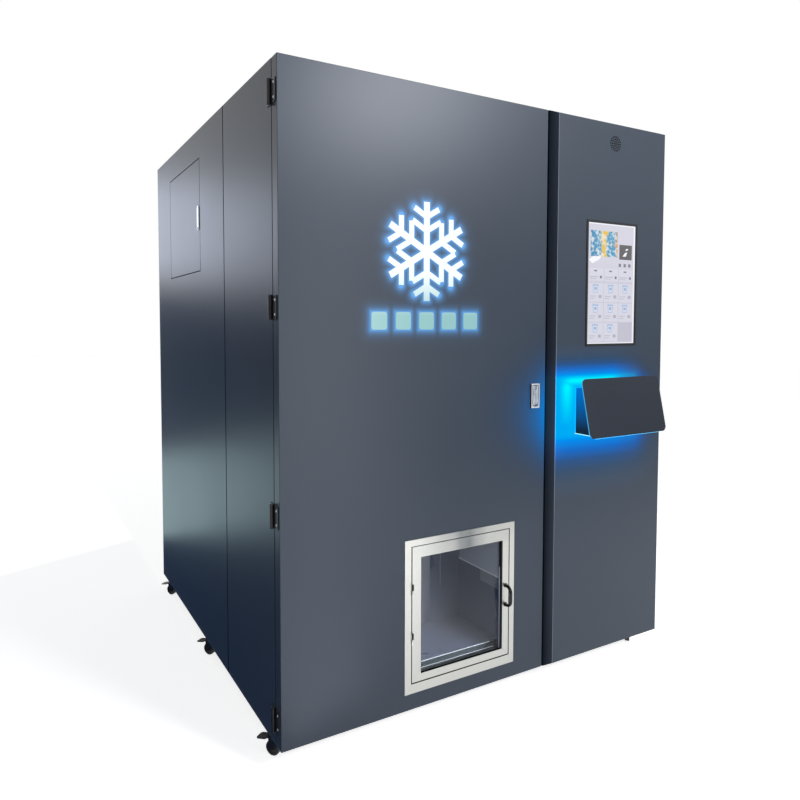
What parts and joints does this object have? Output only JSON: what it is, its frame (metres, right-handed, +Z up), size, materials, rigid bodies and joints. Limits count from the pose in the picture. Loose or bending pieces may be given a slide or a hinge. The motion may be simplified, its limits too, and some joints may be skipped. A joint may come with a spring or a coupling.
{
  "type": "ice vending machine",
  "caption": "Walk-up ice vending machine: slate sheet metal cabinet on braked casters, wide hinged door with glazed delivery hatch, tower with touch screen and payment hood.",
  "frame": {"origin": "on the floor under the middle of the whole footprint", "axes": "+X to the right of a customer facing the machine, +Y to the back, +Z up"},
  "size_m": [1.7274, 1.8549, 2.24],
  "materials": {
    "slate_powder_coat": "satin powder coat",
    "inner_steel": "grey primer",
    "stainless": "brushed",
    "zinc_steel": "zinc plated",
    "black_steel": "black powder coat",
    "black_plastic": "fine grain",
    "black_rubber": "matte",
    "lock_chrome": "polished",
    "hatch_glass": "clear tempered",
    "display_glass": "lit display",
    "lit_acrylic": "lit opal acrylic",
    "insulated_liner": "smooth grey liner",
    "motor_grey": "painted",
    "compressor_black": "gloss black",
    "coil_aluminium": "bare",
    "fitting_brass": "bare"
  },
  "bodies": {
    "cabinet": {"chassis_frame": "inner_steel", "left_front_panel": "slate_powder_coat", "left_rear_panel": "slate_powder_coat", "right_side_panels": "slate_powder_coat", "rear_panel": "slate_powder_coat", "roof_panel": "slate_powder_coat", "roof_vent_cowl": "slate_powder_coat", "tower_fascia": "slate_powder_coat", "tower_partition": "inner_steel", "screen_bezel": "black_plastic", "display_unit": "display_glass", "hood_box": "slate_powder_coat", "hood_plate": "slate_powder_coat", "payment_reader": "black_plastic", "electrical_box": "inner_steel", "ice_bin": "insulated_liner", "auger_gearmotor": "motor_grey", "delivery_box": "insulated_liner", "ice_maker": "stainless", "compressor": "compressor_black", "condenser_coil": "coil_aluminium", "fan_shroud": "zinc_steel", "service_fittings": "fitting_brass", "cabinet_hinge_leaves": "black_steel", "caster_plates": "black_steel"},
    "main_door": {"door_skin": "slate_powder_coat", "door_liner": "zinc_steel", "door_gaskets": "black_rubber", "sign_emblem": "lit_acrylic", "door_hinge_leaves": "black_steel", "latch_housing": "lock_chrome", "window_frame": "stainless"},
    "latch_handle": {"latch_handle": "lock_chrome"},
    "latch_bar": {"latch_bar": "zinc_steel"},
    "delivery_hatch": {"window_leaf": "stainless", "window_glass": "hatch_glass", "window_handle": "stainless"},
    "side_hatch": {"side_hatch": "slate_powder_coat", "side_lock_housing": "lock_chrome"},
    "side_lock_handle": {"side_lock_handle": "lock_chrome"},
    "auger": {"auger": "stainless"},
    "condenser_fan": {"condenser_fan": "black_plastic"},
    "fork_front_left": {"caster_fork_front_left": "black_steel"},
    "wheel_front_left": {"caster_wheel_front_left": "black_rubber"},
    "brake_front_left": {"caster_brake_front_left": "black_steel"},
    "fork_middle_left": {"caster_fork_middle_left": "black_steel"},
    "wheel_middle_left": {"caster_wheel_middle_left": "black_rubber"},
    "brake_middle_left": {"caster_brake_middle_left": "black_steel"},
    "fork_rear_left": {"caster_fork_rear_left": "black_steel"},
    "wheel_rear_left": {"caster_wheel_rear_left": "black_rubber"},
    "brake_rear_left": {"caster_brake_rear_left": "black_steel"},
    "fork_front_right": {"caster_fork_front_right": "black_steel"},
    "wheel_front_right": {"caster_wheel_front_right": "black_rubber"},
    "brake_front_right": {"caster_brake_front_right": "black_steel"},
    "fork_middle_right": {"caster_fork_middle_right": "black_steel"},
    "wheel_middle_right": {"caster_wheel_middle_right": "black_rubber"},
    "brake_middle_right": {"caster_brake_middle_right": "black_steel"},
    "fork_rear_right": {"caster_fork_rear_right": "black_steel"},
    "wheel_rear_right": {"caster_wheel_rear_right": "black_rubber"},
    "brake_rear_right": {"caster_brake_rear_right": "black_steel"}
  },
  "joints": [
    {"name": "main_door_hinge", "type": "hinge", "parent": "cabinet", "child": "main_door", "pos_m": [-0.858, -0.758, 1.1], "axis": [0, 0, -1], "range_deg": [0, 110]},
    {"name": "latch_handle_lift", "type": "hinge", "parent": "main_door", "child": "latch_handle", "pos_m": [0.165, -0.8055, 1.0905], "axis": [1, 0, 0], "range_deg": [0, 50]},
    {"name": "latch_bar_slide", "type": "slide", "parent": "main_door", "child": "latch_bar", "axis": [-1, 0, 0], "range_m": [0, 0.0125]},
    {"name": "delivery_hatch_hinge", "type": "hinge", "parent": "main_door", "child": "delivery_hatch", "pos_m": [-0.3745, -0.811, 0.4], "axis": [0, 0, -1], "range_deg": [0, 105]},
    {"name": "side_hatch_hinge", "type": "hinge", "parent": "cabinet", "child": "side_hatch", "pos_m": [-0.846, 0.603, 1.845], "axis": [0, 0, -1], "range_deg": [0, 105]},
    {"name": "side_lock_lift", "type": "hinge", "parent": "side_hatch", "child": "side_lock_handle", "pos_m": [-0.8505, 0.097, 1.797], "axis": [0, -1, 0], "range_deg": [0, 50]},
    {"name": "auger_turn", "type": "hinge", "parent": "cabinet", "child": "auger", "pos_m": [-0.302, -0.22, 0.902], "axis": [0, 1, 0], "continuous": true},
    {"name": "fan_turn", "type": "hinge", "parent": "cabinet", "child": "condenser_fan", "pos_m": [-0.12, 0.64, 0.325], "axis": [0, 1, 0], "continuous": true},
    {"name": "swivel_front_left", "type": "hinge", "parent": "cabinet", "child": "fork_front_left", "pos_m": [-0.823, -0.709, 0.058], "axis": [0, 0, 1], "continuous": true},
    {"name": "roll_front_left", "type": "hinge", "parent": "fork_front_left", "child": "wheel_front_left", "pos_m": [-0.83332, -0.69425, 0.025], "axis": [-0.8192, -0.5736, 0], "continuous": true},
    {"name": "pedal_front_left", "type": "hinge", "parent": "fork_front_left", "child": "brake_front_left", "pos_m": [-0.83849, -0.68688, 0.055], "axis": [-0.8192, -0.5736, 0], "range_deg": [0, 10]},
    {"name": "swivel_middle_left", "type": "hinge", "parent": "cabinet", "child": "fork_middle_left", "pos_m": [-0.823, 0.045, 0.058], "axis": [0, 0, 1], "continuous": true},
    {"name": "roll_middle_left", "type": "hinge", "parent": "fork_middle_left", "child": "wheel_middle_left", "pos_m": [-0.83332, 0.05974, 0.025], "axis": [-0.8192, -0.5736, 0], "continuous": true},
    {"name": "pedal_middle_left", "type": "hinge", "parent": "fork_middle_left", "child": "brake_middle_left", "pos_m": [-0.83849, 0.06712, 0.055], "axis": [-0.8192, -0.5736, 0], "range_deg": [0, 10]},
    {"name": "swivel_rear_left", "type": "hinge", "parent": "cabinet", "child": "fork_rear_left", "pos_m": [-0.823, 0.761, 0.058], "axis": [0, 0, 1], "continuous": true},
    {"name": "roll_rear_left", "type": "hinge", "parent": "fork_rear_left", "child": "wheel_rear_left", "pos_m": [-0.83332, 0.77575, 0.025], "axis": [-0.8192, -0.5736, 0], "continuous": true},
    {"name": "pedal_rear_left", "type": "hinge", "parent": "fork_rear_left", "child": "brake_rear_left", "pos_m": [-0.83849, 0.78312, 0.055], "axis": [-0.8192, -0.5736, 0], "range_deg": [0, 10]},
    {"name": "swivel_front_right", "type": "hinge", "parent": "cabinet", "child": "fork_front_right", "pos_m": [0.823, -0.709, 0.058], "axis": [0, 0, 1], "continuous": true},
    {"name": "roll_front_right", "type": "hinge", "parent": "fork_front_right", "child": "wheel_front_right", "pos_m": [0.80863, -0.71983, 0.025], "axis": [0.6018, -0.7986, 0], "continuous": true},
    {"name": "pedal_front_right", "type": "hinge", "parent": "fork_front_right", "child": "brake_front_right", "pos_m": [0.80144, -0.72525, 0.055], "axis": [0.6018, -0.7986, 0], "range_deg": [0, 10]},
    {"name": "swivel_middle_right", "type": "hinge", "parent": "cabinet", "child": "fork_middle_right", "pos_m": [0.823, 0.045, 0.058], "axis": [0, 0, 1], "continuous": true},
    {"name": "roll_middle_right", "type": "hinge", "parent": "fork_middle_right", "child": "wheel_middle_right", "pos_m": [0.80863, 0.03417, 0.025], "axis": [0.6018, -0.7986, 0], "continuous": true},
    {"name": "pedal_middle_right", "type": "hinge", "parent": "fork_middle_right", "child": "brake_middle_right", "pos_m": [0.80144, 0.02875, 0.055], "axis": [0.6018, -0.7986, 0], "range_deg": [0, 10]},
    {"name": "swivel_rear_right", "type": "hinge", "parent": "cabinet", "child": "fork_rear_right", "pos_m": [0.823, 0.761, 0.058], "axis": [0, 0, 1], "continuous": true},
    {"name": "roll_rear_right", "type": "hinge", "parent": "fork_rear_right", "child": "wheel_rear_right", "pos_m": [0.80863, 0.75017, 0.025], "axis": [0.6018, -0.7986, 0], "continuous": true},
    {"name": "pedal_rear_right", "type": "hinge", "parent": "fork_rear_right", "child": "brake_rear_right", "pos_m": [0.80144, 0.74475, 0.055], "axis": [0.6018, -0.7986, 0], "range_deg": [0, 10]}
  ],
  "couplings": [
    {"joint": "latch_bar_slide", "follows": "latch_handle_lift", "m_per_rad": 0.014}
  ]
}
